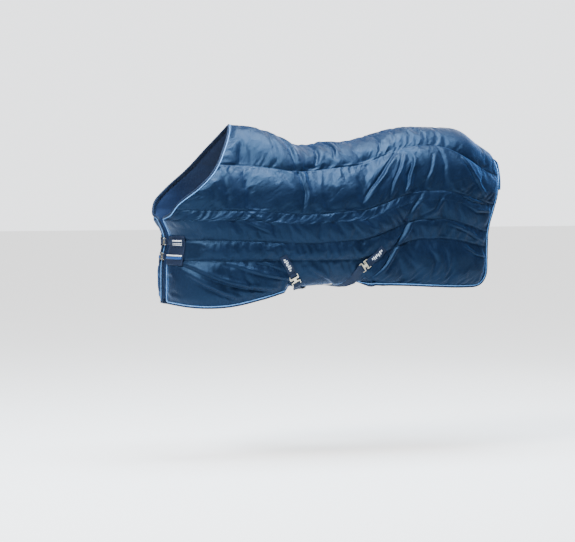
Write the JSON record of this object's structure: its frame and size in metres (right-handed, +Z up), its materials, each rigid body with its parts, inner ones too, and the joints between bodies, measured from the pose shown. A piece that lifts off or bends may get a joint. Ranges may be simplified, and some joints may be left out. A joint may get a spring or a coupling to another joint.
{
  "type": "horse stable rug",
  "caption": "Quilted horse rug in its worn shape, with folding chest fronts, tail flap, and crossed belly straps that clip at the near side.",
  "frame": {"origin": "the topline over the withers, where the two sides meet, resting on the horse", "axes": "+X towards the tail, +Y towards the off (right) side, +Z up"},
  "size_m": [1.7662, 0.67, 0.887],
  "materials": {
    "shell": "satin woven navy nylon, quilted",
    "wadding": "lofted polyester fibre",
    "lining": "smooth navy polyester",
    "binding": "matt navy woven tape",
    "piping": "pale blue satin piping",
    "webbing": "navy woven webbing",
    "fittings": "pale polished plate"
  },
  "bodies": {
    "rug": {"shell_near": "shell", "shell_off": "shell", "wadding_near": "wadding", "wadding_off": "wadding", "lining_near": "lining", "lining_off": "lining", "neck_piping_near": "piping", "neck_piping_off": "piping", "neck_binding_near": "binding", "neck_binding_off": "binding", "hem_piping_near": "piping", "hem_piping_off": "piping", "hem_binding_near": "binding", "hem_binding_off": "binding", "belly_patch_front_near": "webbing", "belly_patch_front_off": "webbing", "belly_patch_rear_near": "webbing", "belly_patch_rear_off": "webbing", "spine_tape": "binding", "belly_eye_front": "fittings", "belly_eye_rear": "fittings"},
    "flap_near": {"flap_shell_near": "shell", "flap_wadding_near": "wadding", "flap_lining_near": "lining", "flap_piping_near": "piping", "flap_binding_near": "binding", "chest_patch_near": "webbing", "chest_strap_upper_near": "webbing", "chest_strap_lower_near": "webbing", "chest_hook_upper": "fittings", "chest_hook_lower": "fittings"},
    "flap_off": {"flap_shell_off": "shell", "flap_wadding_off": "wadding", "flap_lining_off": "lining", "flap_piping_off": "piping", "flap_binding_off": "binding", "chest_patch_off": "webbing", "chest_strap_upper_off": "webbing", "chest_strap_lower_off": "webbing", "chest_eye_upper": "fittings", "chest_eye_lower": "fittings"},
    "strap_a": {"belly_strap_a": "webbing", "belly_hook_front": "fittings"},
    "strap_b": {"belly_strap_b": "webbing", "belly_hook_rear": "fittings"},
    "slider_a": {"belly_slider_a": "fittings"},
    "slider_b": {"belly_slider_b": "fittings"},
    "tail": {"tail_flap": "shell", "tail_flap_piping": "piping"}
  },
  "joints": [
    {"name": "flap_near_opens", "type": "hinge", "parent": "rug", "child": "flap_near", "pos_m": [-0.2, -0.2597, -0.6], "axis": [0, 0, 1], "range_deg": [0, 75]},
    {"name": "flap_off_opens", "type": "hinge", "parent": "rug", "child": "flap_off", "pos_m": [-0.2, 0.2597, -0.6], "axis": [0, 0, -1], "range_deg": [0, 75]},
    {"name": "strap_a_drops", "type": "hinge", "parent": "rug", "child": "strap_a", "pos_m": [0.6155, 0.3345, -0.6575], "axis": [1, 0, 0], "range_deg": [0, 60]},
    {"name": "strap_b_drops", "type": "hinge", "parent": "rug", "child": "strap_b", "pos_m": [0.2287, 0.2925, -0.7195], "axis": [1, 0, 0], "range_deg": [0, 60]},
    {"name": "slider_a_slides", "type": "slide", "parent": "strap_a", "child": "slider_a", "axis": [0.4335, 0.9005, 0.0337], "range_m": [-0.018, 0.025]},
    {"name": "slider_b_slides", "type": "slide", "parent": "strap_b", "child": "slider_b", "axis": [-0.4335, 0.9005, -0.0337], "range_m": [-0.018, 0.025]},
    {"name": "tail_flap_lifts", "type": "hinge", "parent": "rug", "child": "tail", "pos_m": [1.4066, 0, -0.1705], "axis": [0, -1, 0], "range_deg": [0, 70]}
  ],
  "couplings": [
    {"joint": "strap_b_drops", "follows": "strap_a_drops", "ratio": 1}
  ]
}
